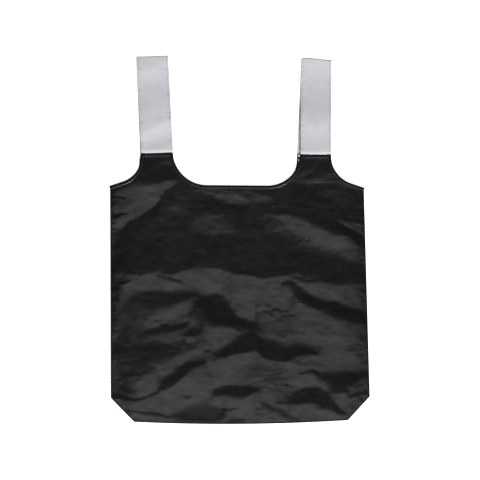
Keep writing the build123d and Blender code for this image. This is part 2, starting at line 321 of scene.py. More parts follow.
# Each fold: slope towards the bottom of the bag, softness above and below, then x, y and half width (mm)
frontFolds = [
    # upper part
    (lit, 3, 1.3, [
        (-210, 32, 30), (-190, 41, 27.5), (-155, 60.5, 22.5),
        (-125, 74.5, 13), (-108, 81.5, 7.5), (-98, 86, 3),
    ]),
    (steep, 0.8, 0.8, [(-196, 64, 0.8), (-184, 63.5, 0.8), (-172, 61, 0.3)]),
    (dim, 1.5, 1.5, [(-193, 55, 0.8), (-165, 57, 0.6)]),
    (steep, 0.8, 0.8, [(-197, 33, 1.1), (-184, 35, 0.9), (-168, 40, 0.3)]),
    (steep, 0.8, 0.8, [(-197, 50, 0.8), (-184, 52, 0.6), (-176, 54, 0.2)]),
    (dim, 6, 6, [(-86, 64, 6), (-76, 70, 6)]),
    (half, 4, 4, [(-74, 74, 3), (-48, 71, 4), (-20, 66, 5), (8, 61, 3)]),
    (lit, 1.0, 1.0, [(-56, 70, 0.8), (-34, 67.5, 2.2), (-10, 63, 2.8), (12, 59, 0.8)]),
    (lit, 1.0, 1.0, [(-70, 76, 0.8), (-46, 76, 1.2), (-28, 74, 0.6)]),
    (lit, 1.0, 1.0, [(-24, 61, 0.6), (-6, 57, 1.4), (8, 55, 0.6)]),
    (lit, 1.2, 1.2, [(-40, 76, 0.6), (-16, 73, 1), (6, 67, 0.8)]),
    (lit, 1.2, 1.2, [(-26, 55, 0.8), (-12, 57.5, 1.4), (2, 56, 0.6)]),
    (lit, 1.2, 1.2, [(2, 71, 0.8), (22, 68, 1.4), (44, 63.5, 0.8)]),
    (half, 3, 3, [(20, 62, 2), (46, 61, 2)]),
    (dim, 5, 5, [(-115, 48, 3), (-98, 46, 6), (-84, 43, 3)]),
    (half, 1.5, 1.5, [(-108, 48, 0.8), (-90, 46, 0.8)]),
    (dim, 8, 8, [(-140, 22, 5), (-115, 30, 6)]),
    (half, 6, 5, [(-68, 20, 5), (-50, 20, 13), (-32, 17, 7), (-12, 16, 3)]),
    (dim, 6, 6, [(-52, 32, 7), (-30, 33, 5)]),
    (-0.01, 8, 8, [(-95, 15, 8), (-90, -2, 5)]),
    (half, 2, 2, [(-194, -17, 4), (-180, -16, 1.5)]),
    (0.0, 5, 5, [(-162, -27, 6), (-150, -25, 5)]),
    (half, 3, 3, [(-122, 117, 1.5), (-106, 115, 4)]),
    (half, 4, 4, [(80, 92, 5), (95, 98, 6), (108, 108, 2)]),
    (half, 4, 4, [(100, 88, 3), (125, 92, 5), (140, 96, 3)]),
    (lit, 2, 1.2, [(92, 87, 1.2), (130, 85, 1.2), (158, 80.5, 1.5), (176, 75, 2)]),
    (dark, 2, 2, [(100, 96, 2), (112, 99, 2)]),
    (half, 2, 2, [(125, 63, 1.5), (138, 67, 2)]),
    (dim, 3, 3, [(102, 56, 2), (124, 49, 2)]),
    (-0.012, 12, 12, [(165, 55, 14)]),
    (dim, 5, 5, [(44, 18, 6), (60, 16, 9), (80, 8, 8)]),
    (half, 5, 5, [(52, 20, 4), (70, 16, 7)]),
    (lit, 3, 8, [
        (40, 35, 1.5), (62, 32, 6), (82, 25, 11), (104, 8, 16.5),
        (130, -1, 16), (155, -10, 16), (200, -32, 14),
    ]),
    (lit, 1.2, 1.2, [(55, 13, 0.8), (68, 17, 1.2), (82, 20, 0.8)]),
    (deep, 1.2, 1.2, [(54, 11, 0.7), (72, 15, 0.9)]),
    (lit, 1.2, 1.2, [(84, 1, 1), (93, 6, 1)]),
    (deep, 1.2, 1.2, [(78, -3, 1), (88, 1, 1)]),
    (deep, 1.2, 1.2, [(140, 26, 1), (152, 17, 2.2), (165, 8, 3), (184, 0, 2.5)]),
    (lit, 2, 1.2, [(146, 28, 0.7), (158, 23, 3), (172, 18, 6.5), (196, 10, 10)]),
    # left of the lower part
    (0.022, 10, 14, [(-172, -105, 20), (-140, -130, 38), (-100, -150, 36), (-70, -160, 22)]),
    (-0.006, 9, 9, [(-150, -155, 18), (-112, -168, 16)]),
    (lit, 4, 5, [(-198, -86, 8), (-184, -88, 9), (-176, -108, 6)]),
    (lit, 2, 2, [(-200, -57, 3), (-180, -57, 3), (-160, -57, 3)]),
    (half, 4, 4, [(-196, -120, 6), (-182, -122, 7)]),
    (half, 5, 5, [(-152, -98, 3), (-150, -116, 4)]),
    (deep, 2, 3, [(-120, -52, 0.8), (-102, -57, 2.5), (-84, -63, 1)]),
    (steep, 0.8, 0.8, [(-197, -62, 0.9), (-182, -64, 1.1), (-166, -62, 0.4)]),
    (steep, 0.8, 0.8, [(-197, -75, 1.0), (-180, -75, 0.5)]),
    (steep, 0.8, 0.8, [(-197, -87, 0.9), (-184, -90, 0.4)]),
    (dark, 4, 7, [
        (-166, -92, 5), (-145, -89, 11), (-118, -93, 16),
        (-96, -92, 12), (-80, -84, 7), (-66, -80, 2),
    ]),
    (deep, 4, 6, [
        (-64, -88, 7), (-48, -100, 17), (-28, -110, 18),
        (-8, -124, 12), (14, -128, 8), (32, -131, 3),
    ]),
    (lit, 5, 3, [(-66, -86, 3), (-82, -98, 6), (-105, -112, 11), (-130, -122, 9), (-142, -130, 2)]),
    (-0.015, 5, 5, [(-168, -100, 4), (-164, -125, 6), (-168, -150, 6)]),
    (deep, 1.2, 3, [(-143, -139, 1.5), (-122, -140, 5.5), (-98, -133, 4), (-76, -126, 2)]),
    (lit, 1, 1, [(-144, -137, 0.6), (-132, -131.5, 1), (-118, -130, 0.6)]),
    (half, 4, 4, [(-140, -152, 5), (-115, -148, 7), (-95, -146, 5)]),
    (dark, 6, 6, [(-186, -165, 8), (-155, -172, 14), (-125, -167, 11), (-97, -165, 5)]),
    (dark, 7, 7, [(-160, -190, 9), (-138, -192, 9)]),
    (lit, 4, 4, [
        (-10, -137, 4), (-28, -146, 12), (-48, -160, 11), (-75, -170, 7),
        (-98, -181, 6), (-118, -196, 6), (-132, -208, 3),
    ]),
    (deep, 2, 2, [(-84, -141, 1.5), (-72, -140, 4.5), (-60, -138, 3)]),
    (lit, 3, 3, [(-78, -150, 3.5), (-72, -150, 4)]),
    (deep, 1.2, 1.2, [(-87, -156, 0.8), (-85, -146, 1), (-80, -141, 1)]),
    (dim, 3, 3, [(-88, -163, 2), (-70, -161, 2.5)]),
    (deep, 3, 2.5, [(-56, -184, 3), (-80, -191, 6), (-98, -205, 9), (-112, -217, 7), (-120, -223, 2)]),
    (dark, 2.5, 2.5, [(-170, -203, 2), (-155, -204, 4), (-142, -200, 2)]),
    (dark, 2, 2, [(-195, -216, 5), (-178, -221, 5), (-160, -229, 2)]),
    (deep, 2, 1.5, [(-190, -231, 4), (-168, -238, 4), (-146, -238, 2), (-124, -229, 1)]),
    (deep, 1.5, 3, [(-95, -267, 4), (-60, -266, 7), (-30, -263, 8)]),
    (deep, 1, 2, [
        (-172, -255, 1), (-140, -262, 1.2), (-100, -263, 1.5),
        (-60, -259, 2.5), (-30, -254, 2), (-8, -251.5, 1),
    ]),
    # middle and right of the lower part
    (dark, 2, 2, [(88, -58, 6), (105, -60, 6)]),
    (dark, 3, 3, [(68, -67, 1), (80, -68, 5), (90, -78, 8), (100, -85, 7)]),
    (half, 2, 2, [(74, -62, 2), (90, -66, 3)]),
    (lit, 1, 1, [(82, -64, 0.8), (95, -61, 0.8), (120, -55, 0.6)]),
    (lit, 3, 3, [(104, -71, 2), (130, -76, 8), (160, -84, 11), (195, -88, 15)]),
    (deep, 2.5, 4, [(88, -80, 5), (108, -92, 7), (135, -104, 9), (162, -112, 10), (200, -117, 12)]),
    (half, 8, 8, [(28, -116, 10), (55, -125, 18), (75, -138, 12)]),
    (half, 9, 9, [(10, -200, 14), (45, -205, 22), (60, -225, 12)]),
    (0.045, 8, 3, [(20, -262, 10), (70, -258, 10), (130, -264, 9)]),
    (dark, 1.2, 1.2, [(30, -109, 0.5), (48, -107, 0.9), (72, -108, 0.5)]),
    (deep, 3, 2, [(20, -126, 4), (17, -140, 8), (8, -152, 12), (-10, -160, 9), (-30, -169, 3)]),
    (deep, 5, 1.5, [
        (-40, -174, 1), (-20, -170, 7), (2, -158, 14), (28, -158, 12),
        (52, -166, 15), (70, -170, 12), (92, -163, 9), (116, -168, 2),
    ]),
    (dim, 6, 6, [(18, -196, 8)]),
    (deep, 2, 3, [(-36, -228, 5), (-12, -227, 7), (8, -226, 8), (26, -224, 2)]),
    (dark, 1.2, 1.2, [(8, -218, 1), (22, -223, 1.5), (38, -222, 0.8)]),
    (dark, 1.2, 1.2, [(32, -206, 0.7), (60, -206, 0.7)]),
    (dark, 1.2, 1.2, [(38, -211, 0.7), (62, -210, 0.7)]),
    (deep, 1.8, 3, [
        (93, -199, 1.5), (108, -196, 2.5), (122, -203, 5), (140, -208, 9),
        (160, -208, 11), (178, -204, 7), (200, -200, 4),
    ]),
    (dark, 2, 2, [(140, -222, 8), (160, -224, 5)]),
    (lit, 3, 3, [(78, -224, 3), (95, -212, 7), (112, -213, 6), (122, -223, 2)]),
    (deep, 2.5, 3.5, [
        (58, -243, 2), (80, -238, 8), (102, -231, 12),
        (122, -238, 12), (142, -249, 6), (158, -257, 2),
    ]),
    (lit, 1.5, 1.5, [(166, -231, 1), (176, -223, 4), (195, -212, 7)]),
    (deep, 1.2, 1.2, [(166, -235, 1.5), (180, -230, 1.5), (196, -228, 1)]),
    (dark, 2.5, 2.5, [(36, -247, 3), (52, -254, 4), (70, -262, 3.5), (88, -269, 3)]),
    (dark, 2, 2, [(-14, -271, 3), (5, -270, 3)]),
]

# Small sharp crinkles in groups: middle x, y, half width, half height (mm), how many, turn (degrees)
crinkleGroups = [
    (50, 31, 9, 5, 7, -15), (86, 2, 11, 9, 8, 28), (14, 60, 14, 8, 6, -8),
    (-72, 60, 14, 10, 5, -10),
    (46, -106, 20, 9, 13, 0), (-75, -108, 11, 10, 9, 12), (-128, -124, 16, 8, 7, 10),
    (70, -130, 9, 18, 9, -5),
    (-110, -194, 22, 9, 8, 14), (-157, -205, 15, 10, 8, -4), (58, -214, 22, 20, 24, 0),
    (100, -178, 14, 9, 9, 28),
    (-93, -231, 19, 6, 6, 12), (-178, -68, 13, 8, 5, -6), (178, -145, 10, 20, 9, 12),
    (172, 48, 12, 16, 6, -20),
    (-182, 50, 9, 18, 4, 12), (92, -60, 16, 6, 6, 12), (-42, -172, 10, 6, 6, 0),
    (78, -236, 9, 9, 6, -12),
    (128, -206, 12, 7, 6, -10), (182, -218, 8, 7, 4, 20), (-96, -150, 16, 12, 6, 18),
    (30, -252, 22, 9, 8, -22),
    (-178, -205, 9, 26, 9, -6), (150, -258, 16, 6, 5, 8), (62, -68, 9, 5, 4, 20),
    (-60, -44, 30, 4, 5, 3),
]


sideGathers = {  # mm
    "highest": 60.0,
    "lowest": -230,
    "apart": (4, 11),
    "reach": (3, 11),
    "drop": (-2, 2),
    "soft": 1.0,
    "seed": 53,
}


def addSideGathers(tilt, x, y):
    # short puckers that run in from the side seams
    rng = np.random.default_rng(sideGathers["seed"])
    soft = sideGathers["soft"]
    for flip in (-1, 1):
        place = sideGathers["highest"]
        while place > sideGathers["lowest"]:
            place -= rng.uniform(*sideGathers["apart"])
            reach = rng.uniform(*sideGathers["reach"])
            slope = rng.choice([lit, deep, deep]) * rng.uniform(0.6, 1.0)
            edge = flip * 190 - 2.5
            drop = rng.uniform(*sideGathers["drop"])
            line = [(edge, place, 1.0), (edge - flip * reach, place + drop, 0.2)]
            paint(tilt, x, y, slope, soft, soft, line[::flip * -1])


crinkleLook = {"turnSpread": 14, "reach": (2.5, 8), "bow": 0.8, "soft": 0.9, "seed": 51}  # degrees and mm


def addCrinkles(tilt, x, y):
    rng = np.random.default_rng(crinkleLook["seed"])
    spread, bend, soft = crinkleLook["turnSpread"], crinkleLook["bow"], crinkleLook["soft"]
    for middleX, middleY, halfX, halfY, count, turn in crinkleGroups:
        for n in range(count):
            placeX = middleX + halfX * rng.uniform(-1, 1)
            placeY = middleY + halfY * rng.uniform(-1, 1)
            lean = math.radians(turn + rng.uniform(-spread, spread))
            reach = rng.uniform(*crinkleLook["reach"])
            slope = (lit if n % 2 else deep) * rng.uniform(0.5, 1.0)
            dx, dy = reach * math.cos(lean), reach * math.sin(lean)
            bow = rng.uniform(-bend, bend)
            start, end = (placeX - dx, placeY - dy, 0.2), (placeX + dx, placeY + dy, 0.2)
            paint(tilt, x, y, slope, soft, soft, [start, (placeX, placeY + bow, 0.8), end])


# Unevenness of the cloth. Each has a strength, a seed, and the length of its features along x and y
unevenness = {
    "warpX": (1.6 * mm, 11, 30 * mm, 24 * mm),
    "warpY": (1.3 * mm, 12, 26 * mm, 16 * mm),
    "fineWarpY": (0.45 * mm, 13, 9 * mm, 6 * mm),
    "nearSides": (0.018, 14, 14 * mm, 6 * mm),
    "wide": (0.006, 15, 40 * mm, 9 * mm),
    "fine": (0.011, 16, 10 * mm, 3.2 * mm),
    "backWide": (0.035, 31, 110 * mm, 40 * mm),
    "backFine": (0.012, 32, 40 * mm, 16 * mm),
}


def uneven(kind):
    # one of those as a field
    strength, seed, alongX, alongY = unevenness[kind]
    return strength * softNoise(seed, alongX, alongY)


def frontTilt():
    # how much the front cloth should fall towards the bottom of the bag at each place
    x, y = fieldGrid()
    warpX = uneven("warpX")
    warpY = uneven("warpY") + uneven("fineWarpY")
    wavy = np.interp(x[0] / mm, [p[0] for p in bandEdge], [p[1] for p in bandEdge]) * mm
    below = fade((wavy[None, :] - y) / mm, 1.6)
    tilt = dark + (lit - dark) * below
    for slope, above, under, points in frontFolds:
        paint(tilt, x, y, slope, above, under, points)
    addCrinkles(tilt, x, y)
    addSideGathers(tilt, x, y)
    # a slight wander keeps the drawn edges from looking ruled
    spot = np.stack([(x + warpX).ravel(), (y + warpY).ravel()], axis=1)
    tilt = sampled(tilt, spot).reshape(x.shape)
    nearSides = np.exp(-(((0.190 - np.abs(x)) / 0.009) ** 2)) * smooth((0.06 - y) / 0.03)
    tilt += nearSides * uneven("nearSides")
    tilt += uneven("wide") + uneven("fine")
    return tilt


def relaxed(tilt, rest, held, along=1.0, across=0.08, level=1 / 90.0, rounds=260):
    # the height that follows the tilt as nearly as it can: held places stay at rest, and level (per mm)
    # says how strongly the others return to it. Solved by conjugate gradients
    cell = fieldSize["side"] / fieldSize["cells"]
    pull = (level / mm * cell) ** 2
    free = ~held

    def apply(h):
        out = pull * h
        dy = along * (h[1:] - h[:-1])
        dx = across * (h[:, 1:] - h[:, :-1])
        out[1:] += dy
        out[:-1] -= dy
        out[:, 1:] += dx
        out[:, :-1] -= dx
        return out

    rise = along * 0.5 * (tilt[1:] + tilt[:-1]) * cell
    goal = pull * rest
    goal[1:] += rise
    goal[:-1] -= rise
    height = rest.copy()
    residual = (goal - apply(height)) * free
    search = residual.copy()
    size = (residual**2).sum()
    for _ in range(rounds):
        moved = apply(search) * free
        share = size / (search * moved).sum()
        height += share * search
        residual -= share * moved
        newSize = (residual**2).sum()
        search = residual + newSize / size * search
        size = newSize
    return height


def sampled(field, points):
    # values of a field at points, smoothly between its cells
    cells = fieldSize["cells"]
    at = (points - fieldSize["low"]) / fieldSize["side"] * cells - 0.5
    at = np.clip(at, 0, cells - 1.001)
    i = at.astype(int)
    t = at - i
    col, row = i[:, 0], i[:, 1]
    u, v = t[:, 0], t[:, 1]
    low = field[row, col] * (1 - u) + field[row, col + 1] * u
    high = field[row + 1, col] * (1 - u) + field[row + 1, col + 1] * u
    return low * (1 - v) + high * v


def bagShape():
    # over the field: where the seams hold the cloth, and its height at rest
    x, y = fieldGrid()
    spots = np.stack([x.ravel(), y.ravel()], axis=1)
    topX, topY = bagCut["sideTop"]
    right = np.array([(topX, topY + 0.2), bagCut["sideTop"], *bagCut["corner"]])
    corners = np.concatenate([right, [(0, bagBottom)], mirrored(right)])
    inside = insideOf(lay(corners), spots).reshape(x.shape)
    aboveSeams = y > topY
    held = ~inside & ~aboveSeams
    toMouth = smooth((y + 0.03) / 0.11)
    rest = bagLay["crown"] + (bagLay["mouthHeight"] - bagLay["crown"]) * toMouth
    inward = awayFrom(lay(seamLine), spots).reshape(x.shape)
    rest = bagLay["seamHeight"] + (rest - bagLay["seamHeight"]) * (1 - np.exp(-inward / bagLay["edgeRun"]))
    return np.where(held, bagLay["seamHeight"], rest), held


def backTilt():
    return uneven("backWide") + uneven("backFine")


print("folds")
seamLine = seamEdge()
restHeight, heldAtSeam = bagShape()
fields = {"front": relaxed(frontTilt(), restHeight, heldAtSeam)}
fields["back"] = relaxed(backTilt(), 0 * restHeight, heldAtSeam, level=1 / 40.0)
fields["gathers"] = softNoise(18, 9 * mm, 3.2 * mm)  # where the side seams pucker the cloth
# half widths of the bag by height, lowest first
sideWidth = np.array([bagCut["corner"][0], bagCut["sideTop"]]).T[::-1]

frontDetail = {
    "gather": 0.17 * mm,  # depth and reach of the puckers beside the side seams
    "gatherReach": 5 * mm,
    "creaseWidth": 1.6 * mm,
    "creaseShift": 1.5 * mm,
    "creases": [(25, 0.10), (73, 0.08), (-24, 0.05), (-74, 0.05)],  # x and depth (mm), from storage
    "tabFrom": 34 * mm,
    "tabRun": 18 * mm,
    "kept": 0.85,  # share of its reach in which the cloth keeps its height
}


def frontHeight(cut):
    # height of the front cloth over points of the cut
    height = sampled(fields["front"], lay(cut))
    atSide = np.interp(cut[:, 1], sideWidth[0], sideWidth[1]) - np.abs(cut[:, 0])
    gathered = np.exp(-np.maximum(atSide, 0) / frontDetail["gatherReach"]) * smooth(atSide / (1.5 * mm))
    gathered = gathered * smooth((bagCut["sideTop"][1] - cut[:, 1]) / (10 * mm))
    height = height + frontDetail["gather"] * gathered * sampled(fields["gathers"], cut)
    for place, depth in frontDetail["creases"]:
        away = np.abs(cut[:, 0] + frontDetail["creaseShift"] - place * mm)
        height = height - depth * mm * np.exp(-away / frontDetail["creaseWidth"])
    atTab = smooth((cut[:, 1] - (tabTop - frontDetail["tabFrom"])) / frontDetail["tabRun"])
    high = bagLay["highest"]
    low = bagLay["lowest"] + (bagLay["tabLowest"] - bagLay["lowest"]) * atTab
    middle, reach = (high + low) / 2, (high - low) / 2
    over = (height - middle) / reach
    # near the middle the cloth keeps its height, and further out it levels off
    kept = frontDetail["kept"]
    beyond = np.sign(over) * (kept + (1 - kept) * np.tanh((np.abs(over) - kept) / (1 - kept)))
    return middle + reach * np.where(np.abs(over) < kept, over, beyond)


def backHeight(cut):
    # the back cloth lies on the table
    inward = awayFrom(seamLine, cut)
    low = sampled(fields["back"], lay(cut, back=True))
    folds = bagLay["backFolds"] * (1 + np.tanh(low / (1.4 * mm))) * smooth(inward / (30 * mm))
    toSeam = (bagLay["seamHeight"] - bagLay["backHeight"]) * np.exp(-inward / (12 * mm))
    toMouth = smooth((cut[:, 1] - 0.02) / 0.05)
    onStrap = bagLay["backTabLift"] * smooth((cut[:, 1] - tabTop + 18 * mm) / (9 * mm))
    return bagLay["backHeight"] + folds * (1 - 0.8 * toMouth) + toSeam + onStrap


def addMesh(name, points, faces, material):
    mesh = bpy.data.meshes.new(name)
    mesh.from_pydata([tuple(p) for p in points], [], [tuple(f) for f in faces])
    mesh.validate()
    mesh.polygons.foreach_set("use_smooth", [True] * len(mesh.polygons))
    mesh.materials.append(material)
    piece = bpy.data.objects.new(name, mesh)
    bpy.context.scene.collection.objects.link(piece)
    return piece


def gridFaces(rows, columns, closedColumns=False):
    # faces between rows of points, joined round where the columns are closed
    last = columns if closedColumns else columns - 1
    faces = []
    for i in range(rows - 1):
        for j in range(last):
            k = (j + 1) % columns
            below, above = i * columns, (i + 1) * columns
            faces.append((below + j, below + k, above + k, above + j))
    return faces


def fillOutline(loop, cell):
    # points and triangles that fill a closed loop evenly
    rowGap = cell * math.sqrt(3) / 2
    lowY, highY = loop[:, 1].min(), loop[:, 1].max()
    rows = []
    for j in range(math.floor((lowY - splitY) / rowGap), math.ceil((highY - splitY) / rowGap) + 1):
        x = (np.arange(-150, 151) + 0.5 * (j % 2)) * cell
        rows.append(np.stack([x, np.full(len(x), splitY + j * rowGap)], axis=1))
    grid = np.concatenate(rows)
    grid = grid[insideOf(loop, grid)]
    grid = grid[awayFrom(loop, grid, closed=True) > 0.55 * cell]
    points = np.concatenate([loop, grid])
    count = len(loop)
    edges = [(i, (i + 1) % count) for i in range(count)]
    made = delaunay_2d_cdt([Vector(p) for p in points], edges, [list(range(count))], 1, 1e-7)
    flat = np.array([tuple(v) for v in made[0]])
    return flat, [tuple(f) for f in made[2]]


def levelAtSplit(cut, height, heightAt, cell):
    # makes the cloth straight in a narrow band about the split, so that its two pieces shade as one
    band = 1.8 * cell
    near = np.abs(cut[:, 1] - splitY) < band
    if near.any():
        at = cut[near]
        low, high = at.copy(), at.copy()
        low[:, 1], high[:, 1] = splitY - band, splitY + band
        share = (at[:, 1] - splitY + band) / (2 * band)
        height[near] = heightAt(low) * (1 - share) + heightAt(high) * share
    return height


def newMaterial(name):
    material = bpy.data.materials.new(name)
    material.use_nodes = True
    nodes, links = material.node_tree.nodes, material.node_tree.links
    return material, nodes, links, nodes["Principled BSDF"]


def addNode(nodes, kind, **values):
    node = nodes.new(kind)
    for name, value in values.items():
        if name in node.inputs:
            node.inputs[name].default_value = value
        else:
            setattr(node, name, value)
    return node


def weaveBump(nodes, links, place, pitch, strength, distance):
    # warp and weft ribs crossing at right angles
    ribs = []
    for direction in ("X", "Y"):
        wave = addNode(nodes, "ShaderNodeTexWave", wave_type="BANDS", bands_direction=direction)
        wave.inputs["Scale"].default_value = 1 / pitch * 0.3142  # one rib in each pitch
        wave.inputs["Distortion"].default_value = 0.6  # the ribs wander a little
        wave.inputs["Detail"].default_value = 1.0
        wave.inputs["Detail Scale"].default_value = 0.4
        links.new(place, wave.inputs["Vector"])
        ribs.append(wave)
    cross = addNode(nodes, "ShaderNodeMath", operation="MULTIPLY")
    links.new(ribs[0].outputs["Fac"], cross.inputs[0])
    links.new(ribs[1].outputs["Fac"], cross.inputs[1])
    bump = addNode(nodes, "ShaderNodeBump", Strength=strength, Distance=distance)
    links.new(cross.outputs[0], bump.inputs["Height"])
    return bump


def clothMaterial(name, look):
    # woven cloth: mottled colour, uneven gloss, a weave and fine crinkles
    material, nodes, links, shader = newMaterial(name)
    place = addNode(nodes, "ShaderNodeTexCoord").outputs["Object"]
    mottle = addNode(nodes, "ShaderNodeTexNoise", Scale=look["mottleScale"], Detail=4.0)
    links.new(place, mottle.inputs["Vector"])
    colour = addNode(nodes, "ShaderNodeValToRGB")
    colour.color_ramp.elements[0].position = 0.3
    colour.color_ramp.elements[0].color = (*look["dark"], 1)
    colour.color_ramp.elements[1].position = 0.7
    colour.color_ramp.elements[1].color = (*look["light"], 1)
    links.new(mottle.outputs["Fac"], colour.inputs["Fac"])
    links.new(colour.outputs["Color"], shader.inputs["Base Color"])
    gloss = addNode(nodes, "ShaderNodeTexNoise", Scale=look["glossScale"], Detail=1.5)
    links.new(place, gloss.inputs["Vector"])
    spread = addNode(nodes, "ShaderNodeMapRange")
    spread.inputs["To Min"].default_value = look["roughness"] - look["roughnessSpread"]
    spread.inputs["To Max"].default_value = look["roughness"] + look["roughnessSpread"]
    links.new(gloss.outputs["Fac"], spread.inputs["Value"])
    links.new(spread.outputs["Result"], shader.inputs["Roughness"])
    weave = weaveBump(nodes, links, place, look["pitch"], look["weave"], look["weaveDepth"])
    stretchedPlace = addNode(nodes, "ShaderNodeMapping")
    stretchedPlace.inputs["Scale"].default_value = look["crinkleStretch"]
    links.new(place, stretchedPlace.inputs["Vector"])
    crinkle = addNode(nodes, "ShaderNodeTexNoise", Scale=look["crinkleScale"], Detail=look["crinkleDetail"])
    links.new(stretchedPlace.outputs["Vector"], crinkle.inputs["Vector"])
    rumple = addNode(nodes, "ShaderNodeBump", Strength=look["crinkle"], Distance=look["crinkleDepth"])
    links.new(crinkle.outputs["Fac"], rumple.inputs["Height"])
    links.new(weave.outputs["Normal"], rumple.inputs["Normal"])
    links.new(rumple.outputs["Normal"], shader.inputs["Normal"])
    shader.inputs["Specular IOR Level"].default_value = look["specular"]
    shader.inputs["Specular Tint"].default_value = (*look["glossTint"], 1)
    shader.inputs["Sheen Weight"].default_value = look["sheen"]
    shader.inputs["Sheen Roughness"].default_value = 0.4
    return material


blackLook = {
    "dark": (0.0034, 0.0031, 0.0028),
    "light": (0.0044, 0.0040, 0.0036),
    "mottleScale": 45.0,
    "glossScale": 90.0,
    "roughness": 0.27,
    "roughnessSpread": 0.016,
    "pitch": 0.6 * mm,  # of the weave
    "weaveDepth": 0.08 * mm,
    "crinkleDepth": 0.6 * mm,
    "weave": 0.03,
    "crinkleScale": 90.0,
    "crinkleStretch": (0.45, 1.0, 1.0),
    "crinkle": 0.035,
    "crinkleDetail": 1.0,
    "specular": 0.5,
    "glossTint": (1.0, 0.965, 0.945),
    "sheen": 0.0,
}
greyLook = {
    "dark": (0.50, 0.50, 0.535),
    "light": (0.545, 0.545, 0.575),
    "mottleScale": 60.0,
    "glossScale": 80.0,
    "roughness": 0.55,
    "roughnessSpread": 0.06,
    "pitch": 0.6 * mm,  # of the weave
    "weaveDepth": 0.08 * mm,
    "crinkleDepth": 0.6 * mm,
    "weave": 0.3,
    "crinkleScale": 110.0,
    "crinkleStretch": (1.0, 0.8, 1.0),
    "crinkle": 0.18,
    "crinkleDetail": 5.0,
    "specular": 0.4,
    "glossTint": (1.0, 1.0, 1.0),
    "sheen": 0.15,
}


threadLook = {"plies": 900.0, "unevenness": 1.5, "shade": 0.8, "relief": 0.4, "depth": 0.1 * mm}


def threadMaterial(name, colour, roughness):
    # twisted thread: a slanting stripe of plies, with painted shade that darkens the grooves between them
    material, nodes, links, shader = newMaterial(name)
    place = addNode(nodes, "ShaderNodeTexCoord").outputs["Object"]
    plies = addNode(nodes, "ShaderNodeTexWave", wave_type="BANDS", bands_direction="DIAGONAL")
    plies.inputs["Scale"].default_value = threadLook["plies"]
    plies.inputs["Distortion"].default_value = threadLook["unevenness"]
    links.new(place, plies.inputs["Vector"])
    # the low side of each stripe, where the bump sinks between plies, is painted darker as shade
    ramp = addNode(nodes, "ShaderNodeValToRGB")
    ramp.color_ramp.elements[0].color = (*[c * threadLook["shade"] for c in colour], 1)
    ramp.color_ramp.elements[1].color = (*colour, 1)
    links.new(plies.outputs["Fac"], ramp.inputs["Fac"])
    links.new(ramp.outputs["Color"], shader.inputs["Base Color"])
    bump = addNode(nodes, "ShaderNodeBump", Strength=threadLook["relief"], Distance=threadLook["depth"])
    links.new(plies.outputs["Fac"], bump.inputs["Height"])
    links.new(bump.outputs["Normal"], shader.inputs["Normal"])
    shader.inputs["Roughness"].default_value = roughness
    return material


blackCloth = clothMaterial("blackTaffeta", blackLook)
greyCloth = clothMaterial("greyStrapCloth", greyLook)
blackThread = threadMaterial("blackThread", (0.028, 0.027, 0.026), 0.5)
# The grey thread is coloured darker than the strap cloth it matches: painted shade of the stitch holes and
# puckers along its rows.
greyThreadWithPaintedShade = threadMaterial("greyThreadWithPaintedShade", (0.40, 0.40, 0.44), 0.6)
satinLook = {**greyLook, "dark": (0.80, 0.80, 0.81), "light": (0.88, 0.88, 0.89), "weave": 0.15}
bandLook = {**blackLook, "roughness": 0.6, "dark": (0.02, 0.02, 0.02), "light": (0.04, 0.04, 0.04)}
labelWhite = clothMaterial("labelSatin", satinLook)
labelBand = clothMaterial("labelBand", bandLook)


def bendLower(piece):
    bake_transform(piece)


def bendUpper(piece):
    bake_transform(piece)


def addPanel(name, outline, cell, heightAt, bend, stands):
    loop = outline(cell)
    cut, faces = fillOutline(loop, cell)
    height = levelAtSplit(cut, heightAt(cut), heightAt, cell)
    points = np.concatenate([lay(cut, heightAt is backHeight), height[:, None]], axis=1)
    piece = addMesh(name, points, faces, blackCloth)
    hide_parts(*stands)
    bend(piece)


print("panels")
faces = [("back", bagCut["backCell"], backHeight), ("front", bagCut["frontCell"], frontHeight)]
for face, cell, heightAt in faces:
    stands = [f"{face}_panel_upper", f"{face}_panel_middle"]
    addPanel(f"{face}PanelTop", upperOutline, cell, heightAt, bendUpper, stands)
    addPanel(f"{face}PanelBottom", lowerOutline, cell, heightAt, bendLower, [f"{face}_panel_lower"])

hemLook = {
    "width": 5.6 * mm,
    "thick": 0.42 * mm,
    "stitchInset": 4.3 * mm,
    "pucker": 0.13 * mm,
    "puckerPitch": 5.3 * mm,
    "puckerDrift": 0.18,
    "tabShare": 0.6,  # the tabs' own hems are thinner
    "flatWidth": 2.1,  # width of its strip before it is turned, in hem widths
    "step": 1.1 * mm,
}


def inwardOf(path, sign):
    # the direction square to a path, to its left where sign is 1
    ahead = np.gradient(path, axis=0)
    ahead /= np.linalg.norm(ahead, axis=1, keepdims=True)
    return np.stack([-ahead[:, 1], ahead[:, 0]], axis=1) * sign


def alongOf(path):
    # distance along a path at each of its points
    return np.concatenate([[0], np.cumsum(np.linalg.norm(np.diff(path, axis=0), axis=1))])


# The hem wraps the cloth's edge: inset and height of each line, in shares of its width and thickness
hemSection = [
    (1.0, 0.1), (0.97, 0.8), (0.91, 1.2), (0.83, 1.25), (0.77, 0.85), (0.71, 1.25), (0.5, 1.15),
    (0.3, 0.95), (0.14, 0.65), (0.04, 0.3), (0.0, -0.1), (0.03, -0.5), (0.15, -0.8), (0.5, -0.9),
    (0.9, -0.8),
]


